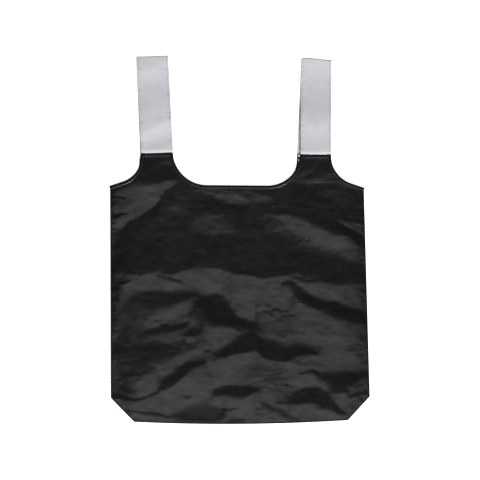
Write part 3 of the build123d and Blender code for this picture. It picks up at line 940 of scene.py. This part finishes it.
def addHem(name, path, sign, heightAt, stands, thickness=1.0):
    side = inwardOf(path, sign)
    along = alongOf(path)
    rng = np.random.default_rng(len(name))
    phase = rng.uniform(0, 6.28)
    drift = np.cumsum(rng.normal(0, hemLook["puckerDrift"], len(path)))
    ripple = np.sin(2 * math.pi * along / hemLook["puckerPitch"] + phase + drift)
    rows = []
    for inset, lift in hemSection:
        cut = path + side * inset * hemLook["width"]
        height = heightAt(cut) + lift * hemLook["thick"] * thickness
        height += ripple * hemLook["pucker"] * (1.2 - inset) * (1 if lift > 0 else 0.5)
        rows.append(np.concatenate([lay(cut, heightAt is backHeight), height[:, None]], axis=1))
    points = np.stack(rows, axis=1).reshape(-1, 3)
    piece = addMesh(name, points, gridFaces(len(path), len(hemSection)), blackCloth)
    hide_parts(*stands)
    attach(piece, "upper")


print("hems")
wholeMouth = joined([mirrored(mouthPath(hemLook["step"])), mouthPath(hemLook["step"])])
rightArmhole = armholePath(hemLook["step"], flare=1.6 * mm)
leftArmhole = mirrored(rightArmhole)
for face, heightAt in (("front", frontHeight), ("back", backHeight)):
    addHem(f"{face}MouthHem", wholeMouth, -1, heightAt, [f"{face}_mouth_hem"])
    addHem(f"{face}RightArmholeHem", rightArmhole, -1, heightAt, [f"{face}_right_armhole_hem"])
    addHem(f"{face}LeftArmholeHem", leftArmhole, -1, heightAt, [f"{face}_left_armhole_hem"])
    for label, flip in (("Right", 1), ("Left", -1)):
        top = run((tabInner, tabTop), (tabOuter, tabTop), hemLook["step"]) * np.array([flip, 1])
        addHem(f"{face}{label}TabHem", top, -flip, heightAt, [], hemLook["tabShare"])

seamLook = {"width": 1.7 * mm, "thick": 0.5 * mm, "step": 1.6 * mm, "ripple": 0.3 * mm}
# The seam's edge: inset and height of each line, in shares of its width and thickness
seamSection = [
    (1.0, 0.45), (0.5, 0.95), (0.1, 0.75), (-0.12, 0.0), (0.1, -0.75), (0.5, -0.95), (1.0, -0.45),
]


def addSeam(name, path, sign, stands, place):
    side = inwardOf(path, sign)
    rng = np.random.default_rng(7 * len(name))
    wander = np.convolve(rng.normal(0, 1, len(path) + 8), np.ones(9) / 3, "valid")
    fromEnd = np.minimum(np.arange(len(path)), np.arange(len(path))[::-1])
    wander *= seamLook["ripple"] * smooth(fromEnd / 6)
    rows = []
    for inset, lift in seamSection:
        cut = path + side * inset * seamLook["width"]
        height = bagLay["seamHeight"] + lift * seamLook["thick"] + 0.3 * wander
        rows.append(np.concatenate([lay(cut), height[:, None]], axis=1))
    points = np.stack(rows, axis=1).reshape(-1, 3)
    piece = addMesh(name, points, gridFaces(len(path), len(seamSection)), blackCloth)
    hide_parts(*stands)
    if callable(place):
        place(piece)
    else:
        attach(piece, place)


print("seams")
sideTopPath = sidePath(bagCut["sideTop"][1], splitY, seamLook["step"])
sideLowPath = sidePath(splitY, bagCut["corner"][0][1], seamLook["step"])
cornerRun = cornerPath(seamLook["step"])
for side, flip in (("right", 1), ("left", -1)):
    turned = np.array([flip, 1])
    stands = [f"{side}_side_seam_upper", f"{side}_side_seam_middle"]
    addSeam(f"{side}SideSeamTop", sideTopPath * turned, -flip, stands, bendUpper)
    addSeam(f"{side}SideSeamBottom", sideLowPath * turned, -flip, [f"{side}_side_seam_lower"], bendLower)
    addSeam(f"{side}CornerSeam", cornerRun * turned, -flip, [f"{side}_corner_seam"], "lower")
addSeam("bottomSeam", bottomPath(seamLook["step"]), -1, ["bottom_seam"], "lower")

strapLook = {
    "thick": 0.7 * mm,
    "stitchInset": 3.0 * mm,
    "step": 1.5 * mm,
    "sewn": 6.5 * mm,  # how far each end runs into its tab
    "underTab": 1.15 * mm,
    "backHeight": 0.55 * mm,
    "endHeight": 0.4 * mm,  # under the back tab
    "bulge": 0.25 * mm,
    "offTable": 0.28 * mm,  # room for the stitches on its underside
    "pucker": 0.15 * mm,
    "waveShare": 1.2,
    "bendHalf": 7 * mm,  # half the length that bends at the handle's fold
    "rampFrom": 20 * mm,  # where the front leg begins to sink towards the fold at the top
    "nearTab": 12 * mm,  # where the back leg goes under the back tab
}
# How each strap lies (mm): its middle at the seam and at its top, and the slant of the top edge. Its waves
# are slopes of the front leg at distances from the seam, skewed across the strap
strapLays = {
    "left": {
        "foot": (-124.2, 130.2),
        "top": (-131.6, 274.6),
        "slant": 0.036,
        "width": 48.3,
        "backShift": -1.3,
        "cornerDip": 0.0,
        "foldRadius": 0.9 * mm,
        "skew": 0.3,
        "waves": [
            (0, 0.34), (2, 0.30), (4, 0.04), (8, -0.06), (16, -0.03), (26, 0.07), (35, 0.09), (43, 0.01),
            (50, -0.04), (60, -0.01), (70, -0.035), (92, -0.035), (104, -0.01), (114, 0.04), (124, 0.055),
            (134, 0.0), (146, -0.05),
        ],
    },
    "right": {
        "foot": (113.6, 127.9),
        "top": (114.8, 270.6),
        "slant": -0.10,
        "width": 46.4,
        "backShift": -4.9,
        "cornerDip": 1.9,
        "foldRadius": 1.0 * mm,
        "skew": 0.02,
        "waves": [
            (0, 0.34), (2, 0.30), (4, 0.04), (8, -0.04), (14, -0.01), (22, 0.01), (30, 0.035), (39, 0.075),
            (47, 0.04), (58, 0.0), (66, -0.015), (76, -0.03), (86, -0.015), (95, 0.005), (104, 0.02),
            (112, 0.04), (122, 0.08), (136, 0.08), (146, 0.04),
        ],
    },
}


def strapSection(width):
    # round the strap's section, over the top and back underneath: place across it, and height
    half, thick = width / 2, strapLook["thick"] / 2
    inset = strapLook["stitchInset"]
    besideStitch = [inset / mm - 0.45, inset / mm, inset / mm + 0.45]
    across = np.array([0.0, 0.3, 0.8, 1.6, *besideStitch, 3.9, 4.7, 6.5, 10, 15, 20]) * mm
    lift = np.array([0.0, 0.75, 1.0, 1.05, 0.95, 0.55, 0.95, 1.0, 0.72, 0.7, 0.7, 0.7, 0.7]) * thick
    left = np.stack([-half + across, lift], axis=1)
    top = np.concatenate([left, (left * np.array([-1, 1]))[::-1]])
    bottom = (top * np.array([1, -1]))[::-1][1:-1]
    return np.concatenate([top, bottom])


def strapLine(spec):
    # centreline of one strap: from under the front tab, over the fold, and back to the back tab
    foot, top = np.array(spec["foot"]) * mm, np.array(spec["top"]) * mm
    ahead = (top - foot) / np.linalg.norm(top - foot)
    sewn, radius, backZ = strapLook["sewn"], spec["foldRadius"], strapLook["backHeight"]
    start = foot - ahead * sewn
    length = np.linalg.norm(top - start)
    fromSeam = np.linspace(0, length, int(length / strapLook["step"])) - sewn
    tabMiddle = np.array([[math.copysign((tabInner + tabOuter) / 2, foot[0]), tabTop - sewn / 2]])
    seamZ = frontHeight(tabMiddle)[0] - strapLook["underTab"]
    fall = waveHeight(spec, fromSeam, 0)
    topZ = backZ + 2 * radius
    rampFrom = strapLook["rampFrom"]
    ramp = smooth((fromSeam - rampFrom) / (length - sewn - rampFrom))
    frontZ = seamZ + fall + (topZ - seamZ - fall[-1]) * ramp
    front = start + ahead * (fromSeam + sewn)[:, None]
    turn = np.linspace(0, math.pi, 11)[1:-1]
    bendXY = top + ahead * (radius * np.sin(turn))[:, None]
    bendZ = backZ + radius + radius * np.cos(turn)
    shift = np.array([spec["backShift"] * mm, 0])
    downBack = fromSeam[::-1]
    backXY = front[::-1] + shift * np.clip(1 - downBack / (length - sewn), 0, 1)[:, None]
    nearTab = smooth((strapLook["nearTab"] - downBack) / strapLook["nearTab"])
    backZs = backZ + (strapLook["endHeight"] - backZ) * nearTab
    legs = [(front, frontZ), (bendXY, bendZ), (backXY, backZs)]
    line = np.concatenate([np.concatenate([flat, z[:, None]], axis=1) for flat, z in legs])
    return line, ahead, fromSeam, len(turn)


def waveHeight(spec, fromSeam, across):
    # how far the strap has risen or fallen by its waves at a distance from the seam
    places = np.array([w[0] for w in spec["waves"]]) * mm
    slopes = np.array([w[1] for w in spec["waves"]])
    s = np.linspace(-20 * mm, 170 * mm, 400)
    skew = spec["skew"] * across * smooth((s - 6 * mm) / (15 * mm))
    skewed = np.interp(s - skew, places, slopes) * smooth(s / (2 * mm) + 1.0)
    risen = np.concatenate([[0], np.cumsum(skewed[1:] * np.diff(s))])
    risen -= np.interp(0, s, risen)
    return np.interp(fromSeam, s, risen) * strapLook["waveShare"]


def addStrap(side):
    spec = strapLays[side]
    line, ahead, fromSeam, bends = strapLine(spec)
    legs = len(fromSeam)
    # the across direction turns from square to the strap to along the slanted top edge
    square = np.array([ahead[1], -ahead[0]])
    edge = np.array([math.cos(spec["slant"]), math.sin(spec["slant"])])
    climb = smooth((np.linspace(0, 1, legs) - 0.8) / 0.2)
    nearTop = np.concatenate([climb, np.ones(bends), climb[::-1]])
    across = square + (edge - square) * nearTop[:, None]
    across3 = np.concatenate([across, np.zeros((len(line), 1))], axis=1)
    forward = np.gradient(line, axis=0)
    forward /= np.linalg.norm(forward, axis=1, keepdims=True)
    out = np.cross(across3, forward)
    out /= np.linalg.norm(out, axis=1, keepdims=True)
    section = strapSection(spec["width"] * mm)
    rng = np.random.default_rng(41 if side == "left" else 43)
    puckers = [np.convolve(rng.normal(0, 1, len(line) + 2), np.ones(3) / 2, "valid") for _ in range(2)]
    order = np.arange(len(line))
    ends = smooth(np.minimum(order, order[::-1]) / 5)
    onFront = np.concatenate([np.ones(legs), np.linspace(1, 0, bends), np.zeros(legs)])
    frontWave = waveHeight(spec, fromSeam, 0)

    def ring(u, lift):
        # one line of points along the strap, at u across it and lift out from its middle
        fromEdge = spec["width"] * mm / 2 - abs(u)
        nearStitch = math.exp(-(((fromEdge - strapLook["stitchInset"]) / (3.0 * mm)) ** 2))
        skewed = np.concatenate([waveHeight(spec, fromSeam, u) - frontWave, np.zeros(bends + legs)])
        bulge = strapLook["bulge"] * math.cos(math.pi * u / (spec["width"] * mm))
        raised = lift + strapLook["pucker"] * puckers[int(u > 0)] * nearStitch * ends + bulge * onFront
        spots = line + across3 * u + out * raised[:, None]
        # one corner of the folded top lies a little lower than the rest of its edge
        atCorner = float(smooth((-u / (spec["width"] * mm) - 0.36) / 0.14))
        dip = spec["cornerDip"] * mm * atCorner * nearTop
        spots[:, :2] -= ahead * dip[:, None]
        spots[:, 2] += skewed * smooth((legs - order) / 12)
        # and its underside stays off the table
        outward = strapLook["thick"] / 2 + lift * out[:, 2]
        spots[:, 2] = np.maximum(spots[:, 2], strapLook["offTable"] + outward * 0.9)
        return spots

    rings = [ring(u, z) for u, z in section]
    points = np.stack(rings, axis=1).reshape(-1, 3)
    faces = gridFaces(len(line), len(section), closedColumns=True)
    last = (len(line) - 1) * len(section)
    faces += [tuple(range(len(section)))[::-1], tuple(range(last, last + len(section)))]
    piece = addMesh(f"{side}Strap", points, faces, greyCloth)
    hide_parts(f"{side}_strap", f"front_{side}_strap_end", f"back_{side}_strap_end")
    bendHandle(piece)
    inset = spec["width"] * mm / 2 - strapLook["stitchInset"]
    rows = []
    for u in (-inset, inset):
        row = ring(u, strapLook["thick"] / 2 + 0.02 * mm)
        hidden = int(strapLook["sewn"] / strapLook["step"]) + 2
        rows += [row[hidden:legs], row[legs + bends : len(row) - hidden]]
    return rows


def bendHandle(piece):
    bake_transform(piece)


stitchLook = {
    "length": 2.0 * mm,
    "gap": 0.8 * mm,
    "thick": 0.24 * mm,
    "flatness": 1.25,
    "sink": 0.16 * mm,  # how far its ends go into the cloth
    "sides": 6,
    "overHem": 0.42 * mm,
    "overTab": 0.45 * mm,
    "overCloth": 0.16 * mm,
    "tabEdge": 1.6 * mm,  # the tabs' second row, close to their tops
    "cornerInset": 3 * mm,
    "shape": [(0.0, 0.25), (0.12, 0.8), (0.5, 1.0), (0.88, 0.8), (1.0, 0.25)],  # place along it, and girth
}


def stitchesAlong(path):
    # points and faces of a row of separate stitches lying along a path of points
    along = alongOf(path)
    pitch = stitchLook["length"] + stitchLook["gap"]
    count = int(along[-1] / pitch)
    margin = (along[-1] - count * pitch + stitchLook["gap"]) / 2
    shape, sides = stitchLook["shape"], stitchLook["sides"]
    points, faces = [], []

    def at(s):
        return np.array([np.interp(s, along, path[:, k]) for k in range(3)])

    for n in range(count):
        start = margin + n * pitch
        a, b = at(start), at(start + stitchLook["length"])
        ahead = (b - a) / max(np.linalg.norm(b - a), 1e-9)
        side = np.cross((0, 0, 1), ahead)
        side /= max(np.linalg.norm(side), 1e-9)
        up = np.cross(ahead, side)
        base = len(points)
        for share, girth in shape:
            centre = at(start + share * stitchLook["length"])
            sink = -stitchLook["sink"] * (1 - girth)
            for k in range(sides):
                turn = 2 * math.pi * k / sides
                ring = side * math.cos(turn) * stitchLook["flatness"] + up * math.sin(turn)
                points.append(centre + up * sink + ring * stitchLook["thick"] * girth)
        for face in gridFaces(len(shape), sides, closedColumns=True):
            faces.append(tuple(base + corner for corner in face))
        faces.append(tuple(base + k for k in range(sides))[::-1])
        end = base + (len(shape) - 1) * sides
        faces.append(tuple(end + k for k in range(sides)))
    return points, faces


def addStitching(name, paths, material, stands):
    points, faces = [], []
    for path in paths:
        p, f = stitchesAlong(np.asarray(path))
        faces += [tuple(i + len(points) for i in face) for face in f]
        points += p
    piece = addMesh(name, points, faces, material)
    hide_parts(*stands)
    return piece


def onCloth(path, sign, inset, heightAt, lift):
    # a path on the cloth, inset from its edge
    cut = path + inwardOf(path, sign) * inset
    height = heightAt(cut) + lift
    return np.concatenate([lay(cut, heightAt is backHeight), height[:, None]], axis=1)


print("straps")
for side in ("left", "right"):
    rows = addStrap(side)
    stands = [f"{side}_strap_stitching"]
    stitching = addStitching(f"{side}StrapStitching", rows, greyThreadWithPaintedShade, stands)
    bendHandle(stitching)

print("stitching")
for face, heightAt in (("front", frontHeight), ("back", backHeight)):
    rows = []
    for edge in (wholeMouth, rightArmhole, leftArmhole):
        rows.append(onCloth(edge, -1, hemLook["stitchInset"], heightAt, stitchLook["overHem"]))
    stands = [f"{face}_hem_stitching"]
    hemThread = addStitching(f"{face}HemStitching", rows, blackThread, stands)
    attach(hemThread, "upper")

tabRows = []
for flip in (1, -1):
    edge = run((tabInner + 3 * mm, tabTop), (tabOuter - 3 * mm, tabTop), hemLook["step"])
    edge = edge * np.array([flip, 1])
    for inset in (stitchLook["tabEdge"], hemLook["stitchInset"]):
        tabRows.append(onCloth(edge, -flip, inset, frontHeight, stitchLook["overTab"]))
tabThread = addStitching("tabStitching", tabRows, blackThread, ["tab_stitching"])
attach(tabThread, "upper")

cornerRows = []
for flip in (1, -1):
    edge = cornerRun * np.array([flip, 1])
    cornerRows.append(onCloth(edge, -flip, stitchLook["cornerInset"], frontHeight, stitchLook["overCloth"]))
stands = ["corner_stitching"]
cornerThread = addStitching("cornerStitching", cornerRows, blackThread, stands)
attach(cornerThread, "lower")

labelLook = {
    "out": 3.9 * mm,  # how far it stands out from the tab
    "sewn": 1.6 * mm,  # how far it goes into the tab's edge
    "height": 1.95 * mm,
    "length": 12.0 * mm,
    "low": float(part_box("blank_label")[0][1]),
    "thick": 0.18 * mm,
    "wave": 0.25 * mm,
    "bands": [(0.0, 0.14), (0.40, 0.68), (0.93, 1.0)],  # black stretches, in shares of its length
}


def addLabel():
    # a folded loop label: two leaves joined at the outer edge, sewn in at the tab's edge
    across = np.linspace(0, 1, 9)
    down = np.linspace(0, 1, 17)
    edgeX = tabInner + bagLay["leanAtMouth"]
    points = []
    for leaf, order in ((1, across), (-1, across[::-1])):
        for u in order:
            for v in down:
                x = edgeX + labelLook["sewn"] - u * (labelLook["out"] + labelLook["sewn"])
                y = labelLook["low"] + v * labelLook["length"]
                gap = labelLook["thick"] * (1 + 1.2 * math.sin(math.pi * min(u, 0.98)))
                gap = gap * (0.15 if u > 0.97 else 1)  # its two leaves meet at the outer edge
                wave = labelLook["wave"] * math.sin(5 * v + 1) * u
                points.append((x, y, labelLook["height"] + leaf * gap + wave))
    columns = len(down)
    piece = addMesh("blankLabel", points, gridFaces(2 * len(across), columns), labelWhite)
    piece.data.materials.append(labelBand)
    for polygon in piece.data.polygons:
        v = (polygon.center.y - labelLook["low"]) / labelLook["length"]
        polygon.material_index = int(any(low < v < high for low, high in labelLook["bands"]))
    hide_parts("blank_label")
    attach(piece, "upper")


print("label")
addLabel()

studio = {
    "floorGlow": 0.9,
    "floorDark": (0.86, 0.86, 0.86),
    "floorLight": (0.9, 0.9, 0.9),
    "floorReach": 6.0,
    "floorDrop": 0.3 * mm,  # clear of the bag's underside
    "keyStrength": 5.6,  # low, beyond the bottom of the bag and to the right, for the straps' colour
    "keyFall": 60,  # degrees from straight above
    "keyTurn": 203,  # degrees round from the handles
    "keySpread": 14,
    "glossStrength": 0.31,  # a wide soft panel almost overhead, for the sheen of the folds
    "glossFall": 17,
    "glossTurn": 180,
    "glossSpread": 24,
    "fillStrength": 0.35,
    "fillFall": 60,
    "fillTurn": 30,
    "fillSpread": 40,
    "sky": 0.045,
    "sensor": 36.0,
    "cameraHeight": 9.0,
    "field": 0.72,  # width of the view at the bag
    "viewMiddle": (0.0, 0.0),
}


def addSun(name, strength, fall, turn, spread):
    # a distant soft lamp: fall is its angle from straight above, turn how far round from +Y it stands
    data = bpy.data.lights.new(name, "SUN")
    data.energy = strength
    data.angle = math.radians(spread)
    lamp = bpy.data.objects.new(name, data)
    bpy.context.scene.collection.objects.link(lamp)
    down, around = math.radians(fall), math.radians(turn)
    level = math.sin(down)
    toLamp = Vector((-level * math.sin(around), level * math.cos(around), math.cos(down)))
    lamp.location = toLamp * 3
    lamp.rotation_mode = "QUATERNION"
    lamp.rotation_quaternion = (-toLamp).to_track_quat("-Z", "Y")


def addFloor():
    material, nodes, links, shader = newMaterial("paleFloor")
    grain = addNode(nodes, "ShaderNodeTexNoise", Scale=6.0, Detail=2.0)
    ramp = addNode(nodes, "ShaderNodeValToRGB")
    ramp.color_ramp.elements[0].color = (*studio["floorDark"], 1)
    ramp.color_ramp.elements[1].color = (*studio["floorLight"], 1)
    links.new(grain.outputs["Fac"], ramp.inputs["Fac"])
    links.new(ramp.outputs["Color"], shader.inputs["Base Color"])
    shader.inputs["Roughness"].default_value = 0.9
    shader.inputs["Specular IOR Level"].default_value = 0.1
    shader.inputs["Emission Color"].default_value = (1, 1, 1, 1)
    shader.inputs["Emission Strength"].default_value = studio["floorGlow"]
    reach, floorZ = studio["floorReach"], -studio["floorDrop"]
    corners = [(x * reach, y * reach, floorZ) for x, y in ((-1, -1), (1, -1), (1, 1), (-1, 1))]
    addMesh("floor", corners, [(0, 1, 2, 3)], material)


print("studio")
addFloor()
for lamp in ("key", "gloss", "fill"):
    strength, fall, turn, spread = (studio[lamp + part] for part in ("Strength", "Fall", "Turn", "Spread"))
    addSun(f"{lamp}Lamp", strength, fall, turn, spread)
world = bpy.data.worlds.new("paleRoom")
world.use_nodes = True
world.node_tree.nodes["Background"].inputs["Color"].default_value = (1, 1, 1, 1)
world.node_tree.nodes["Background"].inputs["Strength"].default_value = studio["sky"]
bpy.context.scene.world = world
bpy.context.scene.view_settings.view_transform = "Standard"

cameraData = bpy.data.cameras.new("camera")
cameraData.sensor_width = studio["sensor"]
cameraData.lens = studio["sensor"] * studio["cameraHeight"] / studio["field"]
cameraData.clip_end = 100.0
camera = bpy.data.objects.new("camera", cameraData)
bpy.context.scene.collection.objects.link(camera)
camera.location = (*studio["viewMiddle"], studio["cameraHeight"])
bpy.context.scene.camera = camera

print("done")
